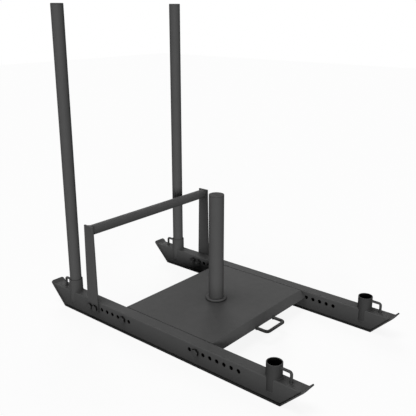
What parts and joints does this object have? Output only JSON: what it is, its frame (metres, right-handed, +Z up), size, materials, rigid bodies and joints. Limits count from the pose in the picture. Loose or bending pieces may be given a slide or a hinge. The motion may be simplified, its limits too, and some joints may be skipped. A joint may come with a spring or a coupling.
{
  "type": "weight sled",
  "caption": "Gym weight sled: tube runners on turned-up skid plates, folded deck with a central plate post, corner sockets with tall push poles, a low bolted handle and a tow loop.",
  "frame": {"origin": "on the ground under the middle of the deck, centre of the bounding box's bottom face", "axes": "+X along the runners towards the front, the end with the empty sockets and the tow loop; +Y across to the left runner; +Z up along the weight post"},
  "size_m": [1.0142, 0.565, 0.9763],
  "materials": {
    "frame_coat": "matte black powder coat, fine orange peel",
    "rod_coat": "matte black powder coat",
    "pole_coat": "satin black powder coat",
    "cap_plastic": "moulded black plastic",
    "deck_coat": "matte black powder coat, fine orange peel",
    "post_coat": "satin black powder coat",
    "handle_coat": "matte black powder coat",
    "black_steel": "black oxide steel"
  },
  "bodies": {
    "sled": {"left_runner": "frame_coat", "right_runner": "frame_coat", "left_skid_plate": "frame_coat", "right_skid_plate": "frame_coat", "front_left_socket": "frame_coat", "front_right_socket": "frame_coat", "rear_left_socket": "frame_coat", "rear_right_socket": "frame_coat", "front_left_floor": "frame_coat", "front_right_floor": "frame_coat", "rear_left_floor": "frame_coat", "rear_right_floor": "frame_coat", "front_left_loop": "rod_coat", "front_right_loop": "rod_coat", "rear_left_loop": "rod_coat", "rear_right_loop": "rod_coat", "tow_loop": "rod_coat", "post_cap": "cap_plastic", "deck": "deck_coat", "weight_post": "post_coat", "post_collar": "post_coat", "left_upright": "handle_coat", "right_upright": "handle_coat", "crossbar": "handle_coat", "handle_bolts": "black_steel", "handle_washers": "black_steel", "handle_nuts": "black_steel", "deck_bolts": "black_steel", "deck_washers": "black_steel", "deck_nuts": "black_steel"},
    "left_pole": {"left_pole": "pole_coat", "left_pole_cap": "cap_plastic"},
    "right_pole": {"right_pole": "pole_coat", "right_pole_cap": "cap_plastic"}
  },
  "joints": [
    {"name": "left_pole_lift", "type": "slide", "parent": "sled", "child": "left_pole", "axis": [0, 0, 1], "range_m": [0, 0.12]},
    {"name": "right_pole_lift", "type": "slide", "parent": "sled", "child": "right_pole", "axis": [0, 0, 1], "range_m": [0, 0.12]}
  ]
}
